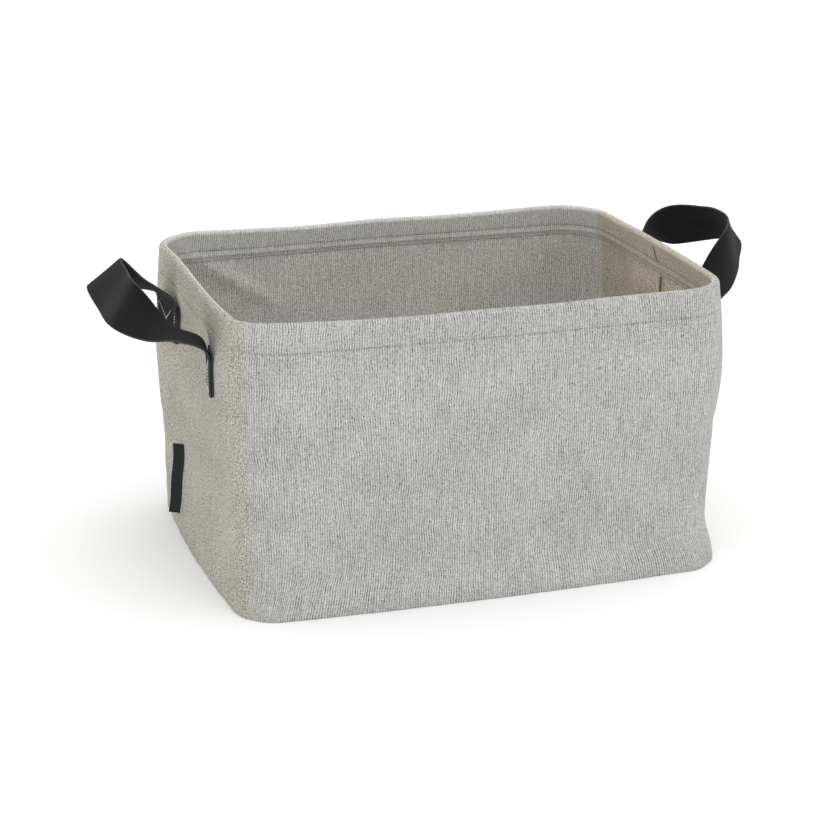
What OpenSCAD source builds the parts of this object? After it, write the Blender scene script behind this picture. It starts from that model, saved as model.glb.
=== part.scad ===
// Fabric storage bin: a soft box of heavy woven cloth with a sprung wire sewn
// into its rim, a stiffened base, and a webbing strap handle at each end.
// The origin is at the bottom centre. X runs along the bin, Y across it, Z up.

/* [Bin] */
// Length of the rim between its two ends, before the ends bow out
rim_length = 450; // [380:1:520]
// Depth of the rim between its two long sides, before they bow out
rim_depth = 340; // [280:1:400]
// Height of the top of the rim above the floor
bin_height = 268; // [258:1:290]
// Thickness of the wall cloth
cloth_t = 1.6; // [1:0.1:2]

/* [Rim] */
// Depth of the folded hem that holds the rim wire
hem_depth = 30; // [24:1:34]
// Thickness of one layer of the hem
hem_layer_t = 1.2; // [0.8:0.1:1.6]
// Diameter of the rim wire
wire_d = 3.8; // [2.5:0.1:4]
// Length of the sleeve that joins the wire's ends
ferrule_length = 24; // [12:1:40]

/* [Base] */
// Thickness of the stiff board in the base
board_t = 2.5; // [1.5:0.1:4]
// Gap between the edge of the board and the wall
board_margin = 6; // [3:1:12]
// Height of the binding tape along the inside of the base seam
binding_h = 8; // [5:1:12]

/* [Handles] */
// Width of the webbing
strap_w = 44; // [36:1:48]
// Thickness of the webbing
strap_t = 2; // [1.2:0.1:2.4]
// Distance of each sewn end from the middle of the end wall
sewn_y = 84; // [80:1:90]
// Height of the top of the sewn ends
sewn_top = 229; // [222:1:230]
// Height of a sewn end
sewn_h = 40; // [34:1:44]

/* [Label] */
// Height of the label tab
label_h = 70; // [40:1:74]
// How far the label tab stands out
label_w = 11.5; // [8:0.5:14]

/* [Hidden] */

// The wall's shape at a few heights: how far it stands in from the rim's
// outline, its corner radius, and the bow of its ends and of its long sides.
wall_inset = [[0, 0], [12, 0.5], [36, 3.5], [60, 3], [100, 1], [140, -1.5], [170, -3], [200, -3], [238, -2], [268, 0]];
corner_r = [[0, 33], [12, 35], [36, 40], [60, 42], [100, 44], [268, 44]];
end_bow = [[0, 9], [12, 8], [36, 5], [60, 3], [140, 2], [200, 2], [238, 2.5], [268, 3.5]];
side_bow = [[0, 8], [60, 7], [268, 6]];
wall_heights = [0, 12, 24, 36, 60, 100, 140, 170, 200];

// Faces along one corner and along one side of the outline
corner_steps = 8;
side_steps = 8;

hem_bottom = bin_height - hem_depth;
// Clearance between cloth that moves and cloth that doesn't
move_gap = 0.3;
// Clearance between pieces that lie on each other
lie_gap = 0.2;
wire_r = wire_d / 2;
channel_r = wire_r + 0.7;
roll_r = channel_r + hem_layer_t;
wire_z = bin_height - roll_r;
hem_inner_u = cloth_t + 0.4;

base_t = 1.5;
lining_t = 1.2;
board_z = base_t + lie_gap;
lining_z = board_z + board_t + lie_gap;
binding_z = lining_z + lining_t + lie_gap;

thread_t = 0.6;
thread_stand = 0.35;
// Height of the outer stitch row, and of the two inner rows
outer_row_z = hem_bottom + 4.5;
inner_low_z = hem_bottom + 1.5;
inner_high_z = hem_bottom + 9.5;

sewn_t = 1.8 * strap_t;
box_margin = 4;

seam_y = -14;
seam_w = 9;
label_y = 76;
label_bottom = 18;
label_t = 0.8;
label_catch = 1;
label_row = 1.8;
label_lean = 45;

cloth_colour = "#b6b3ad";
inside_colour = "#a8a297";
strap_colour = "#2c2d2f";
thread_colour = "#8d8b87";
black_label = "#26282a";

// A handle's strap passes through these stations: how far out from the end
// wall's plane, along Y and up, then the turn and the pitch of its width.
end_plane = rim_length / 2 + 3;
left_stations = [
    [5, -84, 217, 0, 0], [5, -84, 230.8, 2, 0], [32, -80, 241, 15, -1],
    [51, -75, 249, 28, 20], [73, -62, 266, 63, 48], [70, 0, 262, 92, 53],
    [67, 60, 264, 117, 40], [45, 74, 250, 146, 22], [24, 81, 240, 160, 10],
    [5, 84, 230.8, 178, 0], [5, 84, 217, 180, 0]
];
right_stations = [
    [5, -84, 217, 0, 0], [5, -84, 230.8, 2, 0], [14, -83, 243, 6, 14],
    [43, -61, 265, 23, 66], [65, -23, 269, 85, 73], [77, 13, 274, 99, 51],
    [72, 41, 271, 107, 54], [44, 72, 263, 108, 66], [20, 84, 250, 149, 18],
    [5, 84, 230.8, 178, 0], [5, 84, 217, 180, 0]
];
strap_steps = 6;

// ---- outline of the bin ----

function bowed(p, a, b, z) = [
    p[0] + sign(p[0]) * lookup(z, end_bow) * (1 - pow(p[1] / b, 2)),
    p[1] + sign(p[1]) * lookup(z, side_bow) * (1 - pow(p[0] / a, 2))
];

// One corner's arc and the side that follows it, in quadrant q
function quadrant(q, a, b, r) =
    let (sx = (q == 0 || q == 3) ? 1 : -1,
         sy = q < 2 ? 1 : -1,
         c = [sx * (a - r), sy * (b - r)],
         arc = [for (i = [0:corner_steps]) c + r * [cos(90 * (q + i / corner_steps)), sin(90 * (q + i / corner_steps))]],
         from = arc[corner_steps],
         to = q % 2 == 0 ? [-from[0], from[1]] : [from[0], -from[1]])
    concat(arc, [for (i = [1:side_steps - 1]) from + (to - from) * i / side_steps]);

// The outline at height z, moved in by u
function outline(z, u) =
    let (inset = lookup(z, wall_inset) + u,
         a = rim_length / 2 - inset,
         b = rim_depth / 2 - inset,
         r = lookup(z, corner_r) - u)
    [for (q = [0:3]) for (p = quadrant(q, a, b, r)) bowed(p, a, b, z)];

// Distance from the middle to the end wall's outer face
function end_x(y, z) =
    let (inset = lookup(z, wall_inset), b = rim_depth / 2 - inset)
    rim_length / 2 - inset + lookup(z, end_bow) * (1 - pow(y / b, 2));

// A closed band round the bin. The section is a list of [inward, height].
module band(section) {
    n = 4 * (corner_steps + side_steps);
    m = len(section);
    points = [for (s = section) for (p = outline(s[1], s[0])) [p[0], p[1], s[1]]];
    faces = [for (k = [0:m - 1]) for (i = [0:n - 1]) for (half = [0, 1])
        let (a = k * n + i,
             b = k * n + (i + 1) % n,
             c = ((k + 1) % m) * n + (i + 1) % n,
             d = ((k + 1) % m) * n + i)
        half == 0 ? [a, c, b] : [a, d, c]];
    polyhedron(points, faces);
}

// A flat sheet of the bin's outline at height z, moved in by u
module sheet(z, t, u) {
    translate([0, 0, z])
        linear_extrude(t)
            polygon(outline(z, u));
}

function rectangle(u0, u1, z0, z1) = [[u0, z0], [u0, z1], [u1, z1], [u1, z0]];

// ---- base and wall ----

module wall_fabric() {
    top = hem_bottom;
    outer = [for (z = wall_heights) [0, z]];
    inner = [for (i = [len(wall_heights) - 1:-1:0]) [cloth_t, wall_heights[i]]];
    color(cloth_colour)
        band(concat(outer, [[0, top], [cloth_t, top]], inner));
}

module side_seam_tape() {
    heights = [16, 36, 60, 100, 140, 170, 200, 234];
    u0 = cloth_t + lie_gap;
    u1 = u0 + 1;
    m = len(heights);
    points = [for (z = heights) for (c = [[0, u0], [1, u0], [1, u1], [0, u1]])
        [end_x(seam_y, z) - c[1], seam_y + seam_w * (c[0] - 0.5), z]];
    sides = [for (k = [0:m - 2]) for (i = [0:3])
        [4 * k + i, 4 * (k + 1) + i, 4 * (k + 1) + (i + 1) % 4, 4 * k + (i + 1) % 4]];
    color(inside_colour)
        polyhedron(points, concat(sides, [[0, 1, 2, 3], [for (i = [3:-1:0]) 4 * (m - 1) + i]]));
}

module base_fabric() {
    color(cloth_colour)
        sheet(0, base_t, cloth_t + lie_gap);
}

module base_board() {
    color("#6d675e")
        sheet(board_z, board_t, cloth_t + board_margin);
}

module base_lining() {
    color(inside_colour)
        sheet(lining_z, lining_t, cloth_t + 1);
}

module base_seam_binding() {
    u = cloth_t + lie_gap;
    color(inside_colour)
        band(rectangle(u, u + 1, binding_z, binding_z + binding_h));
}

module base_seam_stitching() {
    color(thread_colour)
        band(rectangle(-thread_stand, -0.05, 6, 6 + thread_t));
}

// Stands the children on the left end wall, at the label's edge
module at_label() {
    x = end_x(label_y, label_bottom + label_h / 2);
    translate([-x, label_y, label_bottom])
        rotate([0, 0, 180 - label_lean])
            children();
}

// How far out along the label the wall's face lies, at a height above the label's foot
function label_root(h) =
    (end_x(label_y, label_bottom + h) - end_x(label_y, label_bottom + label_h / 2)) / cos(label_lean);

// A strip of the label's plane beside the wall's face, between two heights above its foot
module label_strip(low, high, from, to, thick) {
    heights = [for (i = [0:12]) low + i * (high - low) / 12];
    rotate([90, 0, 0])
        linear_extrude(thick, center = true)
            polygon(concat([for (h = heights) [label_root(h) + from, h]],
                           [for (i = [12:-1:0]) [label_root(heights[i]) + to, heights[i]]]));
}

// Its inner edge is caught in the wall's cloth
module label_tab() {
    color(black_label)
        at_label()
            translate([0, label_t / 2, 0])
                label_strip(0, label_h, -label_catch, label_w, label_t);
}

module label_stitching() {
    off = 0.05 + thread_stand / 2;
    color(thread_colour)
        at_label()
            for (face = [-off, label_t + off])
                translate([0, face, 0])
                    label_strip(2, label_h - 2, label_row, label_row + thread_t, thread_stand);
}

// ---- rim ----

// The hem's section: up the outside, over the wire, and down the inside
function arc_points(r, from, to, steps) =
    [for (i = [0:steps]) let (t = from + (to - from) * i / steps) [roll_r - r * cos(t), wire_z + r * sin(t)]];

module rim_hem() {
    neck_z = wire_z - 7;
    outside = concat([[0, hem_bottom + move_gap], [0, hem_bottom + 10]], arc_points(roll_r, 0, 200, 8));
    inside = concat(arc_points(channel_r, 200, 0, 6), [[hem_layer_t, hem_bottom + move_gap]]);
    inner_leg = [
        [hem_inner_u + hem_layer_t, neck_z], [hem_inner_u + hem_layer_t, hem_bottom - move_gap],
        [hem_inner_u, hem_bottom - move_gap], [hem_inner_u, neck_z]
    ];
    color(cloth_colour)
        band(concat(outside, inner_leg, inside));
}

module rim_wire() {
    color("silver")
        band([for (i = [0:7]) [roll_r - wire_r * cos(45 * i), wire_z + wire_r * sin(45 * i)]]);
}

module wire_ferrule() {
    y = rim_depth / 2 - lookup(wire_z, wall_inset) + lookup(wire_z, side_bow) - roll_r;
    color("gray")
        translate([-ferrule_length / 2, y, wire_z])
            rotate([0, 90, 0])
                difference() {
                    cylinder(r = channel_r - 0.25, h = ferrule_length, $fn = 32);
                    translate([0, 0, -1])
                        cylinder(r = wire_r + 0.05, h = ferrule_length + 2, $fn = 32);
                }
}

module hem_outer_stitching() {
    color(thread_colour)
        band(rectangle(-thread_stand, -0.05, outer_row_z, outer_row_z + thread_t));
}

module inner_row(z) {
    u = hem_inner_u + hem_layer_t;
    color(thread_colour)
        band(rectangle(u + 0.05, u + thread_stand, z, z + thread_t));
}

module hem_inner_stitching_low() inner_row(inner_low_z);

module hem_inner_stitching_high() inner_row(inner_high_z);

// ---- handles ----

// Where a sewn end lies on the end wall, clear of the wall's bow
sewn_x = end_x(sewn_y - strap_w / 2, sewn_top - sewn_h) + move_gap;

// One end of a strap, folded under and laid flat on the end wall
module sewn_end(side, y) {
    r = sewn_t / 2;
    color(strap_colour)
        translate([side > 0 ? sewn_x : -sewn_x - sewn_t, y - strap_w / 2, sewn_top - sewn_h + r])
            union() {
                cube([sewn_t, strap_w, sewn_h - r]);
                translate([r, 0, 0])
                    rotate([-90, 0, 0])
                        cylinder(r = r, h = strap_w, $fn = 32);
            }
}

module left_front_sewn_end() sewn_end(-1, -sewn_y);

module left_back_sewn_end() sewn_end(-1, sewn_y);

module right_front_sewn_end() sewn_end(1, -sewn_y);

module right_back_sewn_end() sewn_end(1, sewn_y);

// A sewn square with its two diagonals, standing on both ends of one strap
module box_stitching(side) {
    w = strap_w - 2 * box_margin;
    h = sewn_h - 2 * box_margin;
    slope = atan(h / w);
    face = sewn_x + sewn_t + 0.05;
    color(thread_colour)
        for (y = [-sewn_y, sewn_y])
            translate([side * (face + thread_stand / 2), y, sewn_top - sewn_h / 2])
                for (bar = [[0, h / 2, w, 0], [0, -h / 2, w, 0], [w / 2, 0, h, 90], [-w / 2, 0, h, 90],
                            [0, 0, norm([w, h]), slope], [0, 0, norm([w, h]), -slope]])
                    translate([0, bar[0], bar[1]])
                        rotate([bar[3], 0, 0])
                            cube([thread_stand, bar[2], thread_t], center = true);
}

module left_box_stitching() box_stitching(-1);

module right_box_stitching() box_stitching(1);

// Catmull-Rom curve through the stations a, b, c and d, from b to c
function curve(a, b, c, d, t) =
    0.5 * (2 * b + (c - a) * t + (2 * a - 5 * b + 4 * c - d) * t * t + (3 * b - a - 3 * c + d) * t * t * t);

function stations_along(s) = concat(
    [for (i = [1:len(s) - 3]) for (k = [0:strap_steps - 1])
        curve(s[i - 1], s[i], s[i + 1], s[i + 2], k / strap_steps)],
    [s[len(s) - 2]]);

// The four corners of the webbing's section at a station, going along tangent
function strap_section(s, tangent, side) =
    let (centre = [side * (end_plane + s[0]), s[1], s[2]],
         across = [-side * sin(s[3]) * cos(s[4]), cos(s[3]) * cos(s[4]), sin(s[4])],
         face = cross(across, tangent),
         n = face / norm(face),
         w = across * strap_w / 2,
         t = n * strap_t / 2)
    [centre - w - t, centre + w - t, centre + w + t, centre - w + t];

module strap(stations, side) {
    s = stations_along(stations);
    m = len(s);
    place = [for (p = s) [side * (end_plane + p[0]), p[1], p[2]]];
    points = [for (i = [0:m - 1])
        for (p = strap_section(s[i], place[min(i + 1, m - 1)] - place[max(i - 1, 0)], side)) p];
    faces = [for (k = [0:m - 2]) for (i = [0:3]) for (half = [0, 1])
        let (a = 4 * k + i,
             b = 4 * k + (i + 1) % 4,
             c = 4 * (k + 1) + (i + 1) % 4,
             d = 4 * (k + 1) + i)
        half == 0 ? [a, c, b] : [a, d, c]];
    caps = [[0, 1, 2, 3], [for (i = [3:-1:0]) 4 * (m - 1) + i]];
    color(strap_colour)
        polyhedron(points, concat(faces, caps));
}

module left_handle_loop() strap(left_stations, -1);

module right_handle_loop() strap(right_stations, 1);

wall_fabric();
side_seam_tape();
base_fabric();
base_board();
base_lining();
base_seam_binding();
base_seam_stitching();
label_tab();
label_stitching();
rim_hem();
rim_wire();
wire_ferrule();
hem_outer_stitching();
hem_inner_stitching_low();
hem_inner_stitching_high();
left_front_sewn_end();
left_back_sewn_end();
right_front_sewn_end();
right_back_sewn_end();
left_box_stitching();
right_box_stitching();
left_handle_loop();
right_handle_loop();
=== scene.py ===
"""Looks of a fabric storage bin: linen walls, a sprung rim and two webbing handles.

The shape is worked out in millimetres, in the CAD frame, and made into metres where a mesh is made.
"""
import math

import bmesh
import bpy
import numpy as np
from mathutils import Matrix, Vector


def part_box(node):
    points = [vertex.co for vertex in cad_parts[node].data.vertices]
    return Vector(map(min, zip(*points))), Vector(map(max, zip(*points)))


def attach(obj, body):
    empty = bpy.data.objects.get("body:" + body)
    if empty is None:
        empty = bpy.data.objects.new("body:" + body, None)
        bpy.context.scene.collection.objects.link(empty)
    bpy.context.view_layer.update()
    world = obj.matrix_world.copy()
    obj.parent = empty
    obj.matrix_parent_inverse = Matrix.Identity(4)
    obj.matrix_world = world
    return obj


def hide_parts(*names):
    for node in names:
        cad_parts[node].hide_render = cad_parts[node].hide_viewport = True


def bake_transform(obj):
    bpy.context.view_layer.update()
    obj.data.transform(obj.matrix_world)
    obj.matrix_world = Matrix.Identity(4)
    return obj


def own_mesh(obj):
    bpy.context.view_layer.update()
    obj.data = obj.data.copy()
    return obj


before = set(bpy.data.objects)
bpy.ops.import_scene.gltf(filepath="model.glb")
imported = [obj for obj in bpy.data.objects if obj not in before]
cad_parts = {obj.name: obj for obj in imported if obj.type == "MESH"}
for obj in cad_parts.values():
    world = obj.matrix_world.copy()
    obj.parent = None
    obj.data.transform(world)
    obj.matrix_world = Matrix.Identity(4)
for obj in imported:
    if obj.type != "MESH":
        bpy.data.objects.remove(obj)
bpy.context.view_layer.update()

MM = 0.001

# ---- sizes, in millimetres, as in the CAD ----

RIM_LENGTH = 450
RIM_DEPTH = 340
RIM_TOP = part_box("rim_hem")[1].z / MM
HEM_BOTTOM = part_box("wall_fabric")[1].z / MM
CLOTH = 1.6
HEM_LAYER = 1.2
CHANNEL = 3.8
# How far in the hem's inner face is at its foot, and the heights of its rows of stitches.
HEM_FACE = CLOTH + 0.4 + HEM_LAYER
HEM_ROWS = {"outer": HEM_BOTTOM + 4.5, "low": HEM_BOTTOM + 1.5, "high": HEM_BOTTOM + 9.5}
WIRE_RADIUS = 1.9
FERRULE_LENGTH = 24
BASE_ROW = 6.3
LINING_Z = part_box("base_lining")[0].z / MM
LINING_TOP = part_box("base_lining")[1].z / MM
BINDING = (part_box("base_seam_binding")[0].z / MM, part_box("base_seam_binding")[1].z / MM)

# The wall at a few heights: how far it stands in from the rim's outline, its
# corner radius, and the bow of its ends and of its long sides.
WALL_INSET = [(0, 0), (12, 0.5), (36, 3.5), (60, 3), (100, 1), (140, -1.5), (170, -3), (200, -3),
              (238, -2), (268, 0)]
CORNER_RADIUS = [(0, 33), (12, 35), (36, 40), (60, 42), (100, 44), (268, 44)]
END_BOW = [(0, 9), (12, 8), (36, 5), (60, 3), (140, 2), (200, 2), (238, 2.5), (268, 3.5)]
SIDE_BOW = [(0, 8), (60, 7), (268, 6)]

STRAP_WIDTH = 44
STRAP_THICK = 1.9
SEWN_Y = 84
SEWN_TOP = 229
SEWN_BOTTOM = 189
END_PLANE = RIM_LENGTH / 2 + 3
# A handle's strap passes through these stations: how far out from the end
# wall's plane, along Y and up, then the turn and the pitch of its width.
STRAP_STATIONS = {
    "left": [
        (5, -84, 217, 0, 0), (5, -84, 230.8, 2, 0), (32, -80, 241, 15, -1), (51, -75, 249, 28, 20),
        (73, -62, 266, 63, 48), (70, 0, 262, 92, 53), (67, 60, 264, 117, 40), (45, 74, 250, 146, 22),
        (24, 81, 240, 160, 10), (5, 84, 230.8, 178, 0), (5, 84, 217, 180, 0),
    ],
    "right": [
        (5, -84, 217, 0, 0), (5, -84, 230.8, 2, 0), (14, -83, 243, 6, 14), (43, -61, 265, 23, 66),
        (65, -23, 269, 85, 73), (77, 13, 274, 99, 51), (72, 41, 271, 107, 54), (44, 72, 263, 108, 66),
        (20, 84, 250, 149, 18), (5, 84, 230.8, 178, 0), (5, 84, 217, 180, 0),
    ],
}
SIDES = {"left": -1, "right": 1}

# ---- camera, light and floor ----


def look_at(thing, target):
    way = Vector(target) - thing.location
    thing.rotation_euler = way.to_track_quat("-Z", "Y").to_euler()


def add_object(name, data):
    thing = bpy.data.objects.new(name, data)
    bpy.context.scene.collection.objects.link(thing)
    return thing


camera = add_object("camera", bpy.data.cameras.new("camera"))
camera.location = (-0.6478, -1.9547, 0.7997)
camera.data.lens = 100
look_at(camera, (-0.0184, 0, 0.1192))
bpy.context.scene.camera = camera

# ---- numbers ----


def ease(value, low, high):
    """0 below low, 1 above high, and a smooth rise between them."""
    t = np.clip((np.asarray(value, float) - low) / (high - low), 0, 1)
    return t * t * (3 - 2 * t)


def hump(value, middle, width):
    return np.exp(-(((value - middle) / width) ** 2))


def along(table, height):
    """A smooth curve through the table's pairs of height and value."""
    at, values = np.array(table, float).T
    slope = np.gradient(values, at)
    i = np.clip(np.searchsorted(at, height) - 1, 0, len(at) - 2)
    gap = at[i + 1] - at[i]
    t = np.clip((height - at[i]) / gap, 0, 1)
    start = (2 * t**3 - 3 * t**2 + 1) * values[i] + (t**3 - 2 * t**2 + t) * gap * slope[i]
    end = (3 * t**2 - 2 * t**3) * values[i + 1] + (t**3 - t**2) * gap * slope[i + 1]
    return start + end


def waves(points, length, seed, count=9):
    """A smooth random field from about -1 to 1, whose bumps are about half a length across."""
    random = np.random.RandomState(seed)
    total = 0
    for _ in range(count):
        way = random.normal(size=3)
        way *= 2 * math.pi / (np.linalg.norm(way) * length * random.uniform(0.7, 1.4))
        total = total + np.sin(points @ way + random.uniform(0, 2 * math.pi))
    return total / math.sqrt(count)


# ---- the wall's surface ----

CORNER_COLUMNS = 22
LONG_COLUMNS = 96
END_COLUMNS = 66


def wall_columns():
    """For each column of the cloth's mesh: which corner's centre it goes by, as a share of
    the centre's place, and the direction from there."""
    centres, ways = [], []
    for quarter in range(4):
        sx = 1 if quarter in (0, 3) else -1
        sy = 1 if quarter < 2 else -1
        for i in range(CORNER_COLUMNS):
            turn = math.pi / 2 * (quarter + i / CORNER_COLUMNS)
            centres.append((sx, sy))
            ways.append((math.cos(turn), math.sin(turn)))
        turn = math.pi / 2 * (quarter + 1)
        count = END_COLUMNS if quarter % 2 else LONG_COLUMNS
        for i in range(count):
            share = 1 - 2 * i / count
            centres.append((sx, sy * share) if quarter % 2 else (sx * share, sy))
            ways.append((math.cos(turn), math.sin(turn)))
    return np.array(centres), np.array(ways)


COLUMN_CENTRES, COLUMN_WAYS = wall_columns()


def outline(height):
    """The plain outer face at each height: an array of heights by columns by x and y."""
    z = np.asarray(height, float)[:, None, None]
    half = np.array([RIM_LENGTH, RIM_DEPTH]) / 2 - along(WALL_INSET, z)
    radius = along(CORNER_RADIUS, z)
    p = COLUMN_CENTRES * (half - radius) + COLUMN_WAYS * radius
    bow = np.concatenate([along(END_BOW, z), along(SIDE_BOW, z)], -1)
    return p + np.sign(p) * bow * (1 - (p / half)[..., ::-1] ** 2)


def relief(p):
    """How far the cloth stands out from its plain face, at points on that face."""
    x, y, z = np.moveaxis(p, -1, 0)
    on_end = ease(abs(x), 195, 215)
    on_corner = ease(abs(x), 165, 222) * ease(abs(y), 110, 165)
    pulled = ease(z, 138, 192) * (1 - ease(z, 218, 243))
    dent = (-8 + 1.5 * ease(x, -50, 50)) * (1 - ease(abs(y), 46, 84)) + 3.8 * hump(abs(y), 108, 17)
    out = on_end * pulled * dent
    out = out + on_corner * (2.2 * hump(z, 192, 36) - 1.6 * hump(z + 0.12 * y, 118, 7))
    full = 2.8 * hump(z, 50, 24) + (3 + 5 * hump(z, 120, 62)) * ease(y, 75, 135)
    out = out + ease(-x, 150, 200) * full * ease(z, 0, 30)
    fold = (z - 238 + 0.62 * (x + 185)) / 1.18
    out = out - 4.2 * hump(fold, 0, 8) * hump(x, -150, 42) * ease(y, 120, 160)
    soft = ease(z, 0, 40) * (1 - 0.75 * ease(z, 225, 262))
    out = out + soft * (0.9 * waves(p, 150, 3) + 0.3 * waves(p, 55, 5))
    stitched = hump(z, HEM_ROWS["outer"], 1.3)
    out = out - 0.65 * stitched + 0.26 * hump(z, HEM_BOTTOM + 5, 7) * waves(p * (1, 1, 0.2), 9, 8)
    tight = hump(np.hypot(abs(x) - 212, y - 158), 0, 26)
    out = out + 0.8 * tight * hump(z, HEM_BOTTOM + 4, 9) * waves(p * (1, 1, 0.3), 9, 31)
    out = out - 1.1 * (1 - ease(z, 0, 3.5)) + 0.35 * (1 - ease(z, 4, 16)) * waves(p, 24, 9)
    return out


def rim_rise(p):
    """How much higher the rim is than its plane: it sags along the sides, and where a strap pulls."""
    x, y, z = np.moveaxis(p, -1, 0)
    corner = 0.8 * hump(np.hypot(x + 222, y + 165), 0, 48)
    sag = -1.6 * (1 - ease(abs(x), 60, 200)) * ease(abs(y), 120, 165)
    pulled = -3.5 * ease(-x, 190, 215) * hump(y, -70, 90)
    return (corner + sag + pulled + 0.4 * waves(p * (1, 1, 0), 120, 12)) * ease(z, 240, 266)


def cloth(section):
    """Points on the cloth, rows by columns, for a section of (inward distance, height) pairs."""
    inward, height = np.array(section, float).T
    flat = outline(height)
    ahead = np.roll(flat, -1, 1) - np.roll(flat, 1, 1)
    outward = np.stack([ahead[..., 1], -ahead[..., 0]], -1)
    outward /= np.linalg.norm(outward, axis=-1, keepdims=True)
    z = np.broadcast_to(height[:, None, None], flat.shape[:2] + (1,))
    p = np.concatenate([flat, z], -1)
    out = relief(p) - inward[:, None]
    rise = rim_rise(p)
    p[..., :2] += outward * out[..., None]
    p[..., 2] += rise
    return p


def end_face(side, y, z):
    """The outer face of an end wall: how far it is from the middle of the bin."""
    y, z = np.broadcast_arrays(np.asarray(y, float), np.asarray(z, float))
    inset = along(WALL_INSET, z)
    plain = RIM_LENGTH / 2 - inset + along(END_BOW, z) * (1 - (y / (RIM_DEPTH / 2 - inset)) ** 2)
    return plain + relief(np.stack([side * plain, y, z], -1))


# ---- meshes ----


def make_piece(name, points, faces, corner_uv=None):
    """A smooth-shaded object from points in millimetres. corner_uv holds a pair for each
    corner of each face, in millimetres of cloth."""
    mesh = bpy.data.meshes.new(name)
    mesh.from_pydata((np.asarray(points).reshape(-1, 3) * MM).tolist(), [], faces)
    if corner_uv is not None:
        layer = mesh.uv_layers.new(name="weave")
        layer.data.foreach_set("uv", np.asarray(corner_uv, np.float32).ravel())
    shape = bmesh.new()
    shape.from_mesh(mesh)
    bmesh.ops.recalc_face_normals(shape, faces=shape.faces)
    shape.to_mesh(mesh)
    shape.free()
    mesh.shade_smooth()
    return add_object(name, mesh)


def grid_faces(rows, columns, close_rows, close_columns):
    """The four corners of each face of a grid, as point numbers, and as row and column."""
    i, j = np.meshgrid(np.arange(rows - (not close_rows)), np.arange(columns - (not close_columns)),
                       indexing="ij")
    i, j = i.ravel(), j.ravel()
    corner_rows = np.stack([i, i, i + 1, i + 1], -1)
    corner_columns = np.stack([j, j + 1, j + 1, j], -1)
    return (corner_rows % rows) * columns + corner_columns % columns, corner_rows, corner_columns


def steps_between(grid, axis, close):
    """Distances along one axis of a grid from its first row or column, averaged over the other."""
    ahead = np.concatenate([grid, grid.take([0], axis)], axis) if close else grid
    step = np.linalg.norm(np.diff(ahead, axis=axis), axis=-1).mean(1 - axis)
    return np.concatenate([[0], np.cumsum(step)])


def band(name, section, heights=None):
    """A closed band of cloth round the bin, with a closed section of (inward, height) pairs."""
    grid = cloth(section)
    faces, rows, columns = grid_faces(*grid.shape[:2], True, True)
    round_it = steps_between(cloth([(0, RIM_TOP / 2)]), 1, True)
    up = np.array([z for _, z in section] + [section[0][1]], float) if heights is None else heights
    uv = np.stack([round_it[columns], up[rows]], -1)
    return make_piece(name, grid, faces.tolist(), uv)


def ribbon(name, middle, thick):
    """A strip of cloth from a grid of points on its middle surface, along by across, with a
    thickness for each point across. Both ends are closed."""
    rows, columns = middle.shape[:2]
    face = np.cross(np.gradient(middle, axis=0), np.gradient(middle, axis=1))
    face /= np.linalg.norm(face, axis=-1, keepdims=True)
    half = face * (thick / 2)[..., None]
    grid = np.concatenate([middle + half, (middle - half)[:, ::-1]], 1)
    faces, at_rows, at_columns = grid_faces(rows, 2 * columns, False, True)
    far = steps_between(middle, 0, False)
    wide = steps_between(middle, 1, False)
    across = np.concatenate([wide, wide[::-1], wide[:1]])
    uv = np.stack([across[at_columns], far[at_rows]], -1)
    caps = []
    for row in (0, rows - 1):
        start = row * 2 * columns
        for j in range(columns - 1):
            back = 2 * columns - 1 - j
            caps.append([start + j, start + j + 1, start + back - 1, start + back])
    faces = np.concatenate([faces, caps])
    uv = np.concatenate([uv, np.zeros((len(caps), 4, 2))])
    return make_piece(name, grid, faces.tolist(), uv)


def edge_taper(width, count, edge=1.2):
    """Places across a strip, closer together at its edges, and how full it is at each."""
    inner = np.linspace(edge, width - edge, count)
    rim = edge * (1 - np.cos(np.linspace(0, math.pi / 2, 5)[:-1]))
    place = np.concatenate([rim, inner, width - rim[::-1]])
    near = np.clip(np.minimum(place, width - place) / edge, 0, 1)
    return place, np.maximum(np.sqrt(1 - (1 - near) ** 2), 0.16)


def stitches(name, starts, ends, outward, radius=0.32, arch=0.25):
    """Separate stitches: each is a short thread from its start to its end, arched outward."""
    rings = np.array([[0, 0.15], [0.1, 0.75], [0.3, 1], [0.5, 1.05], [0.7, 1], [0.9, 0.75], [1, 0.15]])
    sides = 6
    turn = np.arange(sides) * 2 * math.pi / sides
    way = ends - starts
    way = way / np.linalg.norm(way, axis=-1, keepdims=True)
    across = np.cross(way, outward)
    across /= np.linalg.norm(across, axis=-1, keepdims=True)
    up = np.cross(across, way)
    t, wide = rings[:, 0], rings[:, 1]
    middle = starts[:, None] + (ends - starts)[:, None] * t[:, None]
    middle = middle + outward[:, None] * (arch * (4 * t * (1 - t) - 0.5))[:, None]
    circle = across[:, None] * np.cos(turn)[:, None] + up[:, None] * np.sin(turn)[:, None]
    points = middle[:, :, None] + circle[:, None] * (radius * wide)[:, None, None]
    faces, _, _ = grid_faces(len(rings), sides, False, True)
    ends_of = [list(range(sides))[::-1], [(len(rings) - 1) * sides + k for k in range(sides)]]
    size = len(rings) * sides
    every = [[c + size * n for c in f] for n in range(len(starts)) for f in faces.tolist() + ends_of]
    mesh = bpy.data.meshes.new(name)
    mesh.from_pydata((points.reshape(-1, 3) * MM).tolist(), [], every)
    mesh.shade_smooth()
    return add_object(name, mesh)


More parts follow.
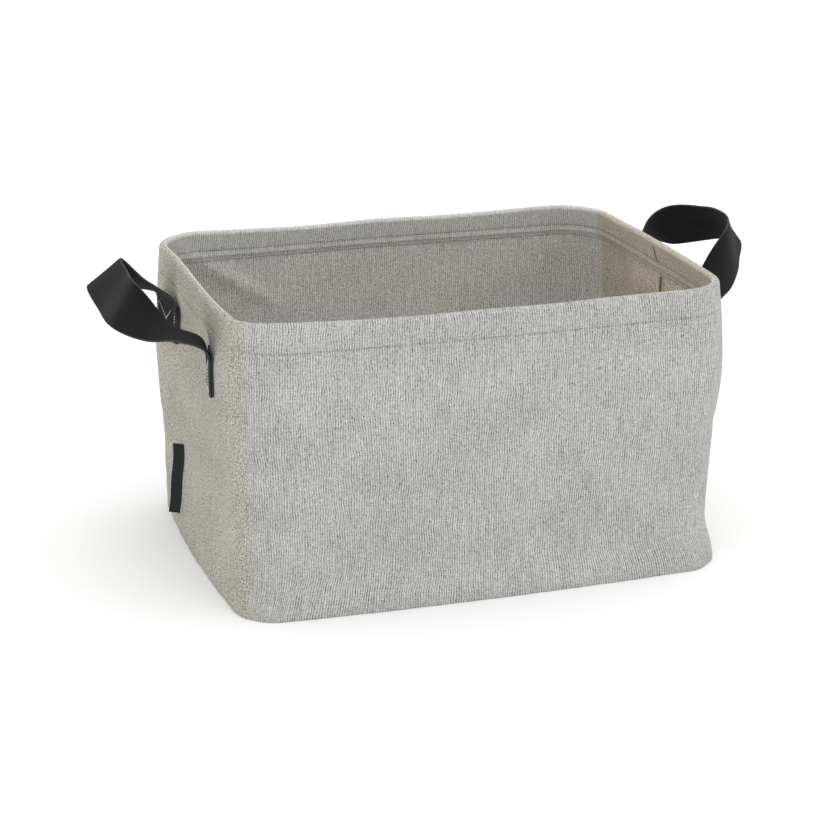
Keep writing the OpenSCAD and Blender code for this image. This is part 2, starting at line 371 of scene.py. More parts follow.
def stitch_row(name, inward, height, pitch=3.6, outward=1):
    """A row of stitches round the bin, on one face of the cloth."""
    ring = cloth([(inward, height)])[0]
    closed = np.vstack([ring, ring[:1]])
    length = np.concatenate([[0], np.cumsum(np.linalg.norm(np.diff(closed, axis=0), axis=1))])
    count = round(length[-1] / pitch)
    place = np.arange(count) * length[-1] / count

    def spot(at):
        return np.stack([np.interp(at % length[-1], length, closed[:, k]) for k in range(3)], -1)

    starts, ends = spot(place), spot(place + 0.72 * pitch)
    way = ends - starts
    out = np.stack([way[:, 1], -way[:, 0], 0 * way[:, 0]], -1)
    out *= outward / np.linalg.norm(out, axis=-1, keepdims=True)
    return stitches(name, starts, ends, out)


def heights_between(low, high, step):
    return np.linspace(low, high, max(2, round((high - low) / step) + 1))


# ---- the cloth pieces ----


def make_wall():
    """The four sides in one band. Its top edge is tucked inside the hem."""
    tuck = [(HEM_LAYER + 0.2, HEM_BOTTOM + 0.5), (HEM_LAYER + 0.25, HEM_BOTTOM + 2.5)]
    outer = [(0.5, 0), (0, 0.6)] + [(0, z) for z in heights_between(2, HEM_BOTTOM - 0.3, 3.4)]
    outer += [(0.02, HEM_BOTTOM)]
    top = tuck + [(HEM_LAYER + 0.55, HEM_BOTTOM + 2.5), (CLOTH, HEM_BOTTOM - 1)]
    inner = [(CLOTH, z) for z in heights_between(2, HEM_BOTTOM - 4, 3.4)[::-1]]
    return band("wall_cloth", outer + top + inner + [(CLOTH - 0.5, 0)])


def hem_lean(z):
    """How far the hem's inner leg slopes inward by each height, up to the roll round the wire."""
    low, high = HEM_BOTTOM + 2, RIM_TOP - CHANNEL
    return (2 * CHANNEL - 0.2 - HEM_FACE) * np.clip((z - low) / (high - low), 0, 1)


def make_hem():
    """The cloth turned over the rim wire, with its lower edge folded under inside."""
    middle = RIM_TOP - CHANNEL

    def roll(radius, start, stop, count):
        return [(CHANNEL - radius * math.cos(math.radians(a)), middle + radius * math.sin(math.radians(a)))
                for a in np.linspace(start, stop, count)]

    inner = HEM_FACE - HEM_LAYER
    fold = HEM_BOTTOM - 0.3
    outside = [(0, HEM_BOTTOM + 0.05)]
    outside += [(0, z) for z in heights_between(HEM_BOTTOM + 0.25, middle - 0.8, 0.8)]
    down = []
    for z in heights_between(fold + 1.2, middle - 0.8, 0.9)[::-1]:
        rows = hump(z, HEM_ROWS["low"], 0.9) + hump(z, HEM_ROWS["high"], 0.9)
        down.append((HEM_FACE + hem_lean(z) - 0.5 * rows, z))
    edge = [(HEM_FACE - 0.2, fold + 0.3), (HEM_FACE - 0.6, fold), (inner + 0.3, fold + 0.05),
            (inner, fold + 0.6)]
    back = [(inner + hem_lean(z), z) for z in heights_between(HEM_BOTTOM + 2, middle - 3, 4)]
    channel = roll(CHANNEL - HEM_LAYER, 195, 0, 12)
    inside = [(HEM_LAYER, z) for z in heights_between(HEM_BOTTOM + 0.05, middle - 3, 5)[::-1]]
    section = outside + roll(CHANNEL, 0, 176, 14) + down + edge + back + channel + inside
    steps = np.linalg.norm(np.diff(np.array(section + section[:1]), axis=0), axis=1)
    return band("rim_hem_cloth", section, HEM_BOTTOM + np.concatenate([[0], np.cumsum(steps)]))


def make_wire():
    """The spring wire inside the hem, round the whole rim."""
    return band("rim_wire_steel", ring_section(WIRE_RADIUS, 12))


def make_ferrule():
    """The crimped sleeve that joins the wire's ends, at the middle of the back."""
    grid = cloth(ring_section(WIRE_RADIUS + 0.45, 16))
    at_back = (grid[0, :, 1] > 0) & (abs(grid[0, :, 0]) < FERRULE_LENGTH / 2)
    grid = grid[:, at_back]
    faces, _, _ = grid_faces(*grid.shape[:2], True, False)
    rows, columns = grid.shape[:2]
    ends = [[row * columns for row in range(rows)], [(row + 1) * columns - 1 for row in range(rows)]]
    return make_piece("wire_ferrule_steel", grid, faces.tolist() + ends)


def ring_section(radius, count):
    """A circle round the middle of the hem's channel, as (inward, height) pairs."""
    turns = np.arange(count) * 2 * math.pi / count
    return [(CHANNEL - radius * math.cos(t), RIM_TOP - CHANNEL + radius * math.sin(t)) for t in turns]


def make_flat(name, low, high, inward, sway):
    """A flat piece that fills the bin's outline: rings from its edge towards the middle."""
    edge = cloth([(inward, max(low, 4))])[0][:, :2]
    shares = np.concatenate([[1, 0.9985, 0.994], np.linspace(0.97, 0.02, 26)])
    full = np.array([0.2, 0.8] + [1] * 27)
    flat = edge[None] * shares[:, None, None]
    place = np.concatenate([flat, np.zeros(flat.shape[:2] + (1,))], -1)
    lift = sway * waves(place, 130, 21) * (1 - shares[:, None] ** 6)
    middle, half = (low + high) / 2, (high - low) / 2 * full[:, None]
    top = np.concatenate([flat, (middle + half + lift)[..., None]], -1)
    bottom = np.concatenate([flat, (middle - half + 0.2 * lift)[..., None]], -1)
    grid = np.concatenate([bottom[::-1], top], 0)
    faces, _, _ = grid_faces(*grid.shape[:2], False, True)
    points = grid.reshape(-1, 3)
    last = np.arange(len(points) - len(edge), len(points))
    caps = [np.arange(len(edge))[::-1], last]
    corners = [*faces, *caps]
    uv = np.concatenate([points[c][:, :2] for c in corners])
    return make_piece(name, points, [c.tolist() for c in corners], uv)


def make_binding():
    """The tape along the inside of the base seam."""
    low, high = BINDING
    inner = CLOTH + 0.15
    section = [(inner, z) for z in heights_between(low, high, 2)]
    section += [(inner + 0.9, high - 0.1)]
    section += [(inner + 1.1, z) for z in heights_between(low + 0.8, high - 0.8, 2)[::-1]]
    section += [(inner + 0.9, low + 0.1)]
    return band("base_binding_tape", section)


SEAM_TAPE_WIDTH = 9
# How wide a band along the tape's ridge is painted dark: painted shadow along the raised seam, with its
# thread.
SEAM_SHADOW_WIDTH = 5.2


def seam_y(z):
    """Where the wall's joining seam is across the right end: it wanders towards the hem."""
    return -19 + 11 * ease(z, 212, 240) + 0.5 * np.sin(z / 23)


def make_side_seam():
    """The tape over the wall's joining seam, down the inside of the right end wall."""
    heights = heights_between(16, HEM_BOTTOM - 3, 3)
    across, full = edge_taper(SEAM_TAPE_WIDTH, 9, 0.8)
    ridge = 1.5 * hump(across, SEAM_TAPE_WIDTH / 2, 1.2)
    y = (across - SEAM_TAPE_WIDTH / 2)[None] + seam_y(heights)[:, None]
    z = np.broadcast_to(heights[:, None], y.shape)
    x = end_face(1, y, z) - CLOTH - 0.65 - ridge[None]
    return ribbon("side_seam_tape_cloth", np.stack([x, y, z], -1), np.broadcast_to(0.7 * full, y.shape))


# ---- the handles ----


def across_strap(side, turn, pitch):
    """The direction of the strap's width at each step, from its turn about Z and its pitch in degrees."""
    turn, pitch = np.radians(turn), np.radians(pitch)
    return np.stack([-side * np.sin(turn) * np.cos(pitch), np.cos(turn) * np.cos(pitch), np.sin(pitch)], -1)


def through(stations, steps):
    """A Catmull-Rom curve through the stations; the first and the last only set its direction."""
    s = np.array(stations, float)
    t = np.arange(steps)[:, None] / steps
    spans = []
    for a, b, c, d in zip(s, s[1:], s[2:], s[3:]):
        spans.append(0.5 * (2 * b + (c - a) * t + (2 * a - 5 * b + 4 * c - d) * t**2
                            + (3 * b - a - 3 * c + d) * t**3))
    return np.vstack(spans + [s[-2:-1]])


def sewn_path():
    """A sewn end seen from its side, from the raw edge behind, round the fold, up to its top:
    pairs of distance from the wall and height."""
    near = 0.3 + STRAP_THICK / 2
    far = near + STRAP_THICK + 0.1
    radius = (far - near) / 2
    down = [(near, z) for z in heights_between(SEWN_BOTTOM + radius + 1, SEWN_TOP - 5, 4)[::-1]]
    fold = [(near + radius - radius * math.cos(a), SEWN_BOTTOM + radius + 1 - (radius + 0.3) * math.sin(a))
            for a in np.linspace(0.3, math.pi - 0.3, 7)]
    up = [(far, z) for z in heights_between(SEWN_BOTTOM + radius + 1, SEWN_TOP, 2.5)]
    return np.array(down + fold + up)


def make_strap(name):
    """One length of webbing: both sewn ends and the loop between them."""
    side = SIDES[name]
    across, full = edge_taper(STRAP_WIDTH, 40)
    w = across - STRAP_WIDTH / 2
    path = sewn_path()

    def leg(y):
        z = np.broadcast_to(path[:, 1:], (len(path), len(w)))
        y = np.broadcast_to(y, z.shape)
        x = side * (end_face(side, y, z) + path[:, :1])
        return np.stack([x, y, z], -1)

    s = through(STRAP_STATIONS[name], 14)
    centre = np.stack([side * (END_PLANE + s[:, 0]), s[:, 1], s[:, 2]], -1)
    wide = across_strap(side, s[:, 3], s[:, 4])
    loop = centre[:, None] + wide[:, None] * w[:, None]
    first, last = leg(-SEWN_Y + w), leg(SEWN_Y - w)[::-1]
    for end, rows in ((first[-1], loop), (last[0], loop[::-1])):
        far = np.linalg.norm(np.diff(rows.mean(1), axis=0), axis=1)
        far = np.concatenate([[0], np.cumsum(far)])
        rows += (end + (0, 0, 1.5) - rows[0]) * (1 - ease(far, 0, 26))[:, None, None]
    middle = np.concatenate([first, loop, last])
    joins = (len(first), len(first) + len(loop))
    row = np.arange(len(middle))
    soft = sum(hump(row, at, 7) for at in joins)[:, None, None]
    for _ in range(30):
        level = (np.roll(middle, 1, 0) + np.roll(middle, -1, 0)) / 2
        middle[1:-1] += (0.6 * soft * (level - middle))[1:-1]
    cords = 0.1 * np.cos(across * 2 * math.pi / 2.9)
    thick = (STRAP_THICK + cords) * full
    return ribbon(f"{name}_strap", middle, np.broadcast_to(thick, middle.shape[:2]))


def make_box_stitching(name):
    """A sewn square with its two diagonals on both ends of one strap."""
    side = SIDES[name]
    half_w = STRAP_WIDTH / 2 - 4
    middle = (SEWN_TOP + SEWN_BOTTOM) / 2
    half_h = (SEWN_TOP - SEWN_BOTTOM) / 2 - 4
    corners = np.array([(-half_w, -half_h), (half_w, -half_h), (half_w, half_h), (-half_w, half_h)])
    lines = [(0, 1), (1, 2), (2, 3), (3, 0), (0, 2), (1, 3)]
    pitch = 2.9
    starts, ends = [], []
    for y in (-SEWN_Y, SEWN_Y):
        for a, b in lines:
            way = corners[b] - corners[a]
            count = round(np.linalg.norm(way) / pitch)
            for n in range(count):
                starts.append(corners[a] + way * n / count + (y, middle))
                ends.append(corners[a] + way * (n + 0.74) / count + (y, middle))
    lift = sewn_path()[-1][0] + STRAP_THICK / 2 + 0.05

    def stand(pairs):
        y, z = np.array(pairs).T
        return np.stack([side * (end_face(side, y, z) + lift), y, z], -1)

    out = np.tile((side, 0.0, 0.0), (len(starts), 1))
    return stitches(f"{name}_strap_stitching", stand(starts), stand(ends), out, radius=0.48, arch=0.35)


# ---- the label ----

LABEL_BOTTOM = 18
LABEL_HEIGHT = 70
LABEL_WIDTH = 11.5
LABEL_LEAN = math.radians(45)
# Where the label's foot is sewn in, and how far its top is from there.
LABEL_FOOT_Y = 73
LABEL_SLANT = -4


def on_label(out, off, z):
    """A point on the label: out along the tab, off its middle, at height z on the left end wall."""
    up = (z - LABEL_BOTTOM) / LABEL_HEIGHT
    across = LABEL_FOOT_Y + LABEL_SLANT * up
    root = -end_face(-1, across, z)
    bend = LABEL_LEAN - 0.012 * out
    x = root - out * np.cos(bend) + off * np.sin(bend)
    y = across + out * np.sin(bend) + off * np.cos(bend)
    return np.stack([x, y, z + 0 * x], -1)


def make_label():
    """A satin tab folded in two, its cut ends in the wall's seam."""
    gap = 0.28
    out = np.concatenate([np.linspace(-1, LABEL_WIDTH - gap, 10), [LABEL_WIDTH - 0.1, LABEL_WIDTH]])
    off = np.concatenate([np.full(10, gap), [0.2, 0]])
    out = np.concatenate([out, out[-2::-1]])
    off = np.concatenate([off, -off[-2::-1]])
    z = LABEL_BOTTOM + np.linspace(0, LABEL_HEIGHT, 36)
    curl = 0.25 * np.sin(z / 9.0)[:, None] * (out / LABEL_WIDTH)[None] ** 2
    grid = on_label(out[None], off[None] + curl, z[:, None])
    full = np.full(grid.shape[:2], 0.32)
    return ribbon("label_tab_satin", grid, full)


def make_label_stitching():
    z = np.arange(LABEL_BOTTOM + 2, LABEL_BOTTOM + LABEL_HEIGHT - 4, 3.0)
    starts, ends, outs = [], [], []
    for face in (-1, 1):
        off = face * 0.5
        starts.append(on_label(1.6 + 0 * z, off, z))
        ends.append(on_label(1.6 + 0 * z, off, z + 2.1))
        outs.append(np.tile((face * math.sin(LABEL_LEAN), face * math.cos(LABEL_LEAN), 0.0), (len(z), 1)))
    return stitches("label_stitches", np.vstack(starts), np.vstack(ends), np.vstack(outs), 0.22, 0.15)


# ---- materials ----

# The weave's upright ribs and its threads, in mm from one to the next.
RIB_PITCH = 2.2
THREAD_PITCH = 1.3
# The weave's contrast: that of its ribs, then a width, a height and a contrast for each grain.
RIB_CONTRAST = 0.43
WEAVE_GRAINS = [(1.2, 4, 1.2), (2.2, 28, 0.7), (8, 1.2, 0.7), (1.0, 1.0, 1.6), (60, 45, 0.35)]


class Finish:
    """One material's node tree, built with short calls."""

    def __init__(self, name):
        self.material = bpy.data.materials.new(name)
        self.material.use_nodes = True
        self.nodes = self.material.node_tree.nodes
        self.links = self.material.node_tree.links
        self.shader = self.nodes["Principled BSDF"]

    def add(self, kind, inputs=(), output=0, **settings):
        node = self.nodes.new(kind)
        for key, value in settings.items():
            setattr(node, key, value)
        for key, value in dict(inputs).items():
            self.put(node.inputs[key], value)
        return node.outputs[output]

    def put(self, socket, value):
        if isinstance(value, bpy.types.NodeSocket):
            self.links.new(value, socket)
        else:
            socket.default_value = value

    def math(self, operation, a, b=0.0):
        return self.add("ShaderNodeMath", {0: a, 1: b}, operation=operation)

    def mix(self, share, a, b):
        return self.add("ShaderNodeMix", {0: share, 6: a, 7: b}, output=2, data_type="RGBA")

    def span(self, value, low, high, to_low=0.0, to_high=1.0):
        return self.add("ShaderNodeMapRange", {0: value, 1: low, 2: high, 3: to_low, 4: to_high})

    def weave_uv(self):
        """The cloth's own coordinates in millimetres, across and along."""
        uv = self.add("ShaderNodeUVMap", uv_map="weave")
        split = self.nodes.new("ShaderNodeSeparateXYZ")
        self.links.new(uv, split.inputs[0])
        return split.outputs[0], split.outputs[1]

    def grain(self, u, v, wide, high, detail=2.0):
        """Noise whose bumps are about that wide and high, in millimetres."""
        place = self.add("ShaderNodeCombineXYZ",
                         {0: self.math("DIVIDE", u, wide), 1: self.math("DIVIDE", v, high)})
        return self.add("ShaderNodeTexNoise", {"Vector": place, "Scale": 1.0, "Detail": detail})

    def bump(self, height, distance, strength=1.0):
        normal = self.add("ShaderNodeBump", {"Height": height, "Distance": distance, "Strength": strength})
        self.links.new(normal, self.shader.inputs["Normal"])

    def set(self, **values):
        for key, value in values.items():
            self.put(self.shader.inputs[key.replace("_", " ")], value)
        return self.material


def linen(name, cool, warm_shaded, contrast=1.0, seam=False):
    """A melange plain weave: uneven upright threads, a finer cross thread, and dark slubs.
    cool and warm_shaded are the mean colours that the cloth's warm_shaded share runs between:
    warm_shaded is painted shade, browner and darker, for the end panels and the inside. With
    seam, a painted shadow line runs along the hem's joining seam."""
    f = Finish(name)
    u, v = f.weave_uv()
    # The warm_shaded share read from the mesh: painted shade, browner and darker, on the end panels and the
    # inside.
    warmth_and_shade = f.add("ShaderNodeAttribute", output=2, attribute_name="warm_shaded")
    drift = f.grain(u, v, 30, 22, 1.0)
    phase = f.math("ADD", f.math("MULTIPLY", u, 2 * math.pi / RIB_PITCH), f.math("MULTIPLY", drift, 15.0))
    rib_share = f.span(f.grain(u, v, 22, 9, 2.0), 0.3, 0.6, 0.25, 1.0)
    rib_share = f.math("MULTIPLY", rib_share, f.span(warmth_and_shade, 0.0, 1.0, 1.0, 0.3))
    broken = f.span(f.grain(u, v, 1.6, 1.7, 1.0), 0.35, 0.62, 0.25, 1.5)
    rib_share = f.math("MULTIPLY", rib_share, broken)
    ribs = f.math("MULTIPLY", f.math("SINE", phase), rib_share)
    tone = f.math("MULTIPLY", ribs, RIB_CONTRAST)
    for wide, high, share in WEAVE_GRAINS:
        part = f.math("SUBTRACT", f.grain(u, v, wide, high, 3.0), 0.5)
        tone = f.math("ADD", tone, f.math("MULTIPLY", part, share))
    coarse = f.math("SUBTRACT", f.grain(u, v, 1.5, 1.6, 2.0), 0.5)
    tone = f.math("ADD", tone, f.math("MULTIPLY", coarse, f.math("MULTIPLY", warmth_and_shade, 2.9)))
    slubs = f.span(f.grain(u, v, 1.5, 2.6, 1.0), 0.66, 0.74)
    flecks = f.span(f.grain(v, u, 1.3, 5, 1.0), 0.68, 0.76)
    tone = f.math("SUBTRACT", tone, f.math("MULTIPLY", f.math("MAXIMUM", slubs, flecks), 0.5))
    # Painted shade in the outer stitch row's groove darkens the tone.
    tone = f.math("SUBTRACT", tone, f.math("MULTIPLY", row_shade(f, u, v), 0.3))
    tone = f.math("MULTIPLY", tone, contrast)
    level = f.span(tone, -1.0, 1.0, 0.0, 2.0)
    # Painted shade: the colour runs from cool where lit to warm_shaded where shaded.
    mean = f.mix(warmth_and_shade, (*cool, 1), (*warm_shaded, 1))
    shade = f.add("ShaderNodeCombineXYZ", {0: level, 1: level, 2: level})
    colour = f.add("ShaderNodeMix", {0: 1.0, 6: mean, 7: shade}, output=2, data_type="RGBA",
                   blend_type="MULTIPLY")
    thread_turn = 2 * math.pi / THREAD_PITCH
    threads = f.math("MULTIPLY", f.math("SINE", f.math("MULTIPLY", u, thread_turn)),
                     f.math("SINE", f.math("MULTIPLY", v, thread_turn)))
    height = f.math("ADD", f.math("MULTIPLY", threads, 0.2), tone)
    if seam:
        # A painted shadow: dark brown along the hem's joining seam, where its raised fold shades the cloth.
        seam_shadow = hem_seam_shadow(f)
        colour = f.mix(f.math("MULTIPLY", seam_shadow, 0.85), colour, (0.07, 0.045, 0.03, 1))
        height = f.math("SUBTRACT", height, f.math("MULTIPLY", seam_shadow, 2.0))
    f.bump(height, 0.3 * MM, 0.7)
    return f.set(Base_Color=colour, Roughness=0.95, Sheen_Weight=0.05, Specular_IOR_Level=0.2)


def row_shade(f, u, v):
    """Painted shade in the groove that the outer row of stitches pulls into the hem: 1 in the groove,
    fading here and there.
    """
    off = f.math("ABSOLUTE", f.math("SUBTRACT", v, HEM_ROWS["outer"]))
    deep = f.span(f.grain(u, v, 14, 14, 2.0), 0.35, 0.6, 0.35, 1.0)
    return f.math("MULTIPLY", f.span(off, 0.3, 1.1, 1.0, 0.0), deep)


def hem_seam_shadow(f):
    """Painted shadow along the hem's own joining seam, inside the right end, where the seam's raised fold
    shades the cloth: 1 there and 0 elsewhere.
    """
    place = f.nodes.new("ShaderNodeSeparateXYZ")
    f.links.new(f.add("ShaderNodeTexCoord", output=3), place.inputs[0])
    x, y, z = place.outputs
    down = f.math("DIVIDE", f.math("SUBTRACT", RIM_TOP * MM, z), (RIM_TOP - HEM_BOTTOM) * MM)
    off = f.math("ABSOLUTE", f.math("SUBTRACT", y, f.span(down, 0.2, 0.7, 3 * MM, -2 * MM)))
    seen = f.math("MULTIPLY", f.span(down, 0.16, 0.22), f.span(down, 0.68, 0.72, 1.0, 0.0))
    seam_shadow = f.math("MULTIPLY", f.span(off, 1.3 * MM, 2.4 * MM, 1.0, 0.0), seen)
    return f.math("MULTIPLY", seam_shadow, f.span(x, 0.19, 0.2))


def webbing(name):
    """Dense charcoal webbing: a fine herringbone, with a painted highlight along each edge where light
    catches the strap's thickness.
    """
    f = Finish(name)
    u, v = f.weave_uv()
    zigzag = f.math("PINGPONG", u, 4.0)
    slanted = f.math("ADD", v, f.math("MULTIPLY", zigzag, 0.8))
    twill = f.math("SINE", f.math("MULTIPLY", slanted, 2 * math.pi / 1.7))
    fine = f.grain(u, v, 0.7, 0.7, 2.0)
    worn = f.grain(u, v, 16, 40, 3.0)
    # Painted highlight: a pale line along each edge of the strap, where light catches its thickness.
    edge = f.span(f.math("ABSOLUTE", f.math("SUBTRACT", u, STRAP_WIDTH / 2)), STRAP_WIDTH / 2 - 1.1,
                  STRAP_WIDTH / 2 - 0.3)
    rubbed = f.math("ADD", fine, f.math("MULTIPLY", worn, 0.5))
    tone = f.math("ADD", f.math("MULTIPLY", twill, 0.22), rubbed)
    colour = f.mix(f.span(tone, 0.3, 1.2), (0.004, 0.004, 0.0045, 1), (0.0155, 0.0155, 0.0163, 1))
    # The painted edge highlight, mixed halfway to pale grey.
    colour = f.mix(f.math("MULTIPLY", edge, 0.5), colour, (0.09, 0.09, 0.09, 1))
    f.bump(f.math("ADD", twill, f.math("MULTIPLY", fine, 1.2)), 0.16 * MM, 0.8)
    return f.set(Base_Color=colour, Roughness=0.85, Sheen_Weight=0.01, Specular_IOR_Level=0.16)


def thread(name, light, dark):
    """Twisted sewing thread."""
    f = Finish(name)
    place = f.add("ShaderNodeTexCoord", output=3)
    twist = f.add("ShaderNodeTexNoise", {"Vector": place, "Scale": 1400.0, "Detail": 2.0})
    colour = f.mix(f.span(twist, 0.3, 0.7), (*dark, 1), (*light, 1))
    f.bump(twist, 0.08 * MM)
    return f.set(Base_Color=colour, Roughness=0.75, Sheen_Weight=0.2)


def satin(name):
    """A woven satin tape: black, with fine ribs."""
    f = Finish(name)
    u, v = f.weave_uv()
    ribs = f.math("SINE", f.math("MULTIPLY", v, 2 * math.pi / 0.8))
    fine = f.grain(u, v, 0.5, 2.5, 2.0)
    colour = f.mix(fine, (0.006, 0.006, 0.0065, 1), (0.02, 0.02, 0.021, 1))
    f.bump(f.math("ADD", ribs, fine), 0.06 * MM, 0.7)
    return f.set(Base_Color=colour, Roughness=0.65, Specular_IOR_Level=0.25)


def metal(name, colour):
    """Drawn or pressed steel, finely brushed."""
    f = Finish(name)
    place = f.add("ShaderNodeTexCoord", output=3)
    brushed = f.add("ShaderNodeTexNoise", {"Vector": place, "Scale": 900.0, "Detail": 3.0})
    f.bump(brushed, 0.03 * MM, 0.5)
    rough = f.span(brushed, 0.3, 0.7, 0.28, 0.42)
    return f.set(Base_Color=(*colour, 1), Metallic=1.0, Roughness=rough)


def board(name):
    """The stiff sheet in the base, with a fine speckle."""
    f = Finish(name)
    place = f.add("ShaderNodeTexCoord", output=3)
    speckle = f.add("ShaderNodeTexNoise", {"Vector": place, "Scale": 300.0, "Detail": 4.0})
    colour = f.mix(speckle, (0.12, 0.11, 0.10, 1), (0.19, 0.18, 0.165, 1))
    f.bump(speckle, 0.1 * MM, 0.4)
    return f.set(Base_Color=colour, Roughness=0.7)


# The second colour of each linen is painted shade, browner and darker, for the end panels and the inside.
LINEN_OUTSIDE = linen("linen_outside", (0.396, 0.393, 0.381), (0.39, 0.371, 0.319))
LINEN_INSIDE = linen("linen_inside", (0.555, 0.565, 0.56), (0.425, 0.38, 0.305), 0.9)
# The hem's inner face is the outside cloth turned over the wire, given a paler grey: painted light.
HEM_INSIDE_PAINTED_LIGHT = linen("linen_hem_inside_painted_light", (0.53, 0.53, 0.515), (0.47, 0.42, 0.35), 0.72, seam=True)
WEBBING = webbing("webbing")
THREAD = thread("thread", (0.44, 0.435, 0.42), (0.30, 0.29, 0.275))
# Thread for the hem's inner rows, darkened with painted shade from the rows' grooves.
INNER_THREAD_AND_SHADE = thread("inner_thread_and_groove_shade", (0.24, 0.235, 0.225), (0.13, 0.125, 0.12))
# Dark brown for the side seam's ridge: its thread, and mostly painted shadow along the raised seam.
SEAM_THREAD_AND_SHADOW = thread("seam_thread_and_shadow", (0.11, 0.08, 0.055), (0.05, 0.035, 0.025))
BOX_THREAD = thread("box_thread", (0.78, 0.79, 0.79), (0.55, 0.56, 0.56))
BLACK_THREAD = thread("label_thread", (0.03, 0.03, 0.03), (0.012, 0.012, 0.012))
SATIN = satin("label_satin")


# Painted shade on the left end's inside: little, as it faces the light.
LEFT_INSIDE_WARMTH_AND_SHADE = 0.15


def paint(piece, *materials):
    for material in materials:
        piece.data.materials.append(material)
    return piece


def set_warmth_and_shade(piece, warmth_and_shade):
    """How much painted shade, browner and darker, the cloth's grey gets at each point: 0 cool to 1
    warm_shaded.
    """
    attribute = piece.data.attributes.new("warm_shaded", "FLOAT", "POINT")
    values = np.zeros(len(piece.data.vertices), np.float32) + warmth_and_shade
    attribute.data.foreach_set("value", values.astype(np.float32))


def paint_cloth(piece, inner_material, inner_warmth_and_shade):
    """Grey outside and warmer inside, with the end panels warmer than the long sides, apart from
    the left end's inside. The warmer, darker grey is painted shade: little on the left end's inside,
    which faces the light. The change is soft, where each rounded corner meets its end."""
    mesh = piece.data
    mesh.materials.append(LINEN_OUTSIDE)
    mesh.materials.append(inner_material)
    inner = np.zeros(len(mesh.vertices))
    for face in mesh.polygons:
        outwards = Vector((face.center.x, face.center.y * 1.3, 0)).dot(face.normal)
        if outwards < -0.001:
            face.material_index = 1
            inner[list(face.vertices)] = inner_warmth_and_shade
    rows = len(mesh.vertices) // len(COLUMN_WAYS)
    way = np.tile(COLUMN_WAYS[:, 0], rows)
    on_end = np.where(way < 0, ease(-way, 0.64, 0.88), ease(way, 0.93, 1.0))
    end_warmth_and_shade = np.where((way < 0) & (inner > 0), LEFT_INSIDE_WARMTH_AND_SHADE, 1)
    set_warmth_and_shade(piece, on_end * end_warmth_and_shade + (1 - on_end) * inner)
    return piece


# ---- building ----

# The last number is the painted shade, browner and darker, on each piece's inside faces.
wall = paint_cloth(make_wall(), LINEN_INSIDE, 0.45)
hem = paint_cloth(make_hem(), HEM_INSIDE_PAINTED_LIGHT, 0.1)
wire = paint(make_wire(), metal("spring_wire", (0.62, 0.62, 0.61)))
ferrule = paint(make_ferrule(), metal("ferrule_steel", (0.5, 0.5, 0.5)))
side_seam = paint(make_side_seam(), LINEN_INSIDE, SEAM_THREAD_AND_SHADOW)
# The ridge's faces take the dark brown colour: its needle line and, mostly, painted shadow along the raised
# seam.
for face in side_seam.data.polygons:
    off_ridge = abs(face.center.y / MM - seam_y(face.center.z / MM))
    face.material_index = 1 if off_ridge < SEAM_SHADOW_WIDTH / 2 else 0
set_warmth_and_shade(side_seam, 1)
binding = paint(make_binding(), LINEN_INSIDE)
set_warmth_and_shade(binding, 0.6)
base_cloth = paint(make_flat("base_cloth", 0, 1.5, CLOTH + 0.2, 0.1), LINEN_OUTSIDE)
lining = paint(make_flat("base_lining_cloth", LINING_Z, LINING_TOP, CLOTH + 1, 0.5), LINEN_INSIDE)
set_warmth_and_shade(lining, 0.5)
outer_row = paint(stitch_row("hem_outer_stitches", 0.0, HEM_ROWS["outer"]), THREAD)
inner_rows = {}
for row in ("low", "high"):
    depth = HEM_FACE + hem_lean(HEM_ROWS[row]) - 0.3
    piece = stitch_row(f"hem_inner_{row}_stitches", depth, HEM_ROWS[row], outward=-1)
    inner_rows[row] = paint(piece, INNER_THREAD_AND_SHADE)
base_row = paint(stitch_row("base_seam_stitches", 0.0, BASE_ROW), THREAD)
label = paint(make_label(), SATIN)
label_stitches = paint(make_label_stitching(), BLACK_THREAD)
straps = {name: paint(make_strap(name), WEBBING) for name in SIDES}
box_stitches = {name: paint(make_box_stitching(name), BOX_THREAD) for name in SIDES}

# ---- floor and light ----

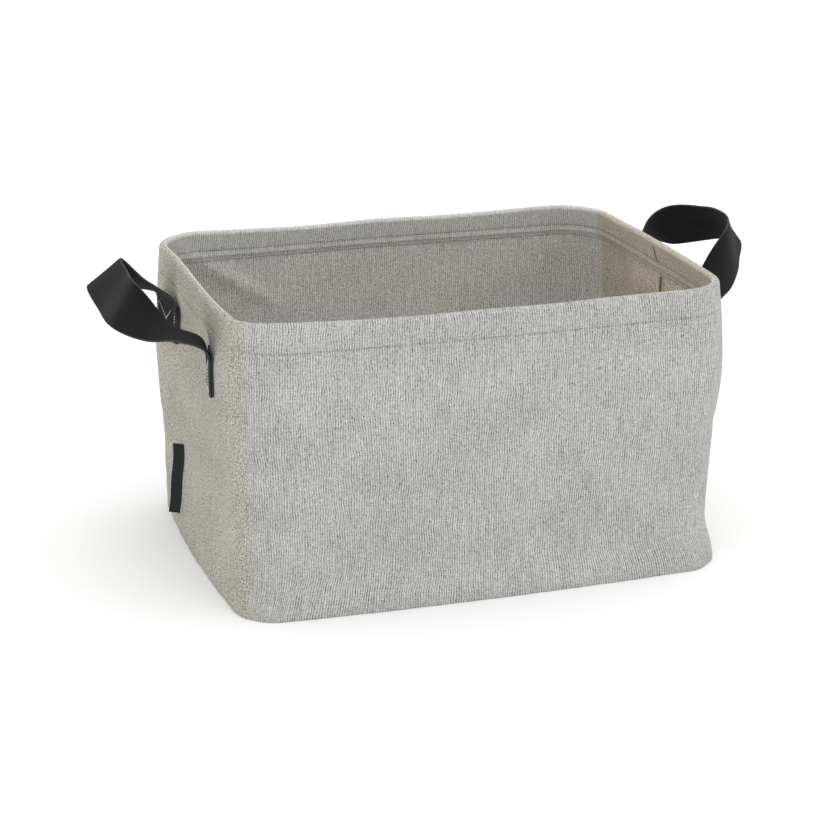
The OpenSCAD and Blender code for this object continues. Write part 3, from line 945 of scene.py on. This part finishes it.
floor_mesh = bpy.data.meshes.new("floor")
floor_mesh.from_pydata([(-9, -9, 0), (9, -9, 0), (9, 9, 0), (-9, 9, 0)], [], [(0, 1, 2, 3)])
floor = add_object("floor", floor_mesh)
floor_finish = Finish("floor_white")
paint(floor, floor_finish.set(Base_Color=(0.93, 0.93, 0.93, 1), Roughness=0.9))

world = bpy.data.worlds.new("studio")
world.use_nodes = True
world.node_tree.nodes["Background"].inputs["Color"].default_value = (1, 1, 1, 1)
world.node_tree.nodes["Background"].inputs["Strength"].default_value = 1.11
bpy.context.scene.world = world

key = add_object("key_light", bpy.data.lights.new("key_light", "SUN"))
key.location = (0.9, -1.2, 3.4)
key.data.energy = 0.67
key.data.angle = math.radians(65)
look_at(key, (0, 0, 0))
bpy.context.scene.view_settings.view_transform = "Standard"

# ---- bodies ----

for piece in (wall, side_seam, binding, base_row, label, label_stitches):
    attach(piece, "base")
    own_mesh(piece)
for piece in (base_cloth, lining):
    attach(piece, "base")
for piece in (hem, wire, ferrule, outer_row, *inner_rows.values(), *box_stitches.values()):
    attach(piece, "rim")
for name, strap in straps.items():
    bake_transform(strap)

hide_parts("wall_fabric")
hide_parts("rim_hem")
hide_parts("rim_wire")
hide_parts("wire_ferrule")
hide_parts("side_seam_tape")
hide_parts("base_seam_binding")
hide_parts("base_fabric")
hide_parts("base_lining")
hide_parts("hem_outer_stitching")
for row, piece in inner_rows.items():
    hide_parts(f"hem_inner_stitching_{row}")
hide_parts("base_seam_stitching")
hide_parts("label_tab")
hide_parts("label_stitching")
for name in SIDES:
    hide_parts(f"{name}_handle_loop", f"{name}_front_sewn_end", f"{name}_back_sewn_end")
    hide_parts(f"{name}_box_stitching")

base_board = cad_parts["base_board"].data
base_board.materials.clear()
base_board.materials.append(board("base_board"))

# ---- the girth of the wall and of the rim ----

GIRTH = steps_between(cloth([(0, 120)]), 1, True)[-1] * MM
RIM_GIRTH = steps_between(cloth([(0, RIM_TOP - 15)]), 1, True)[-1] * MM
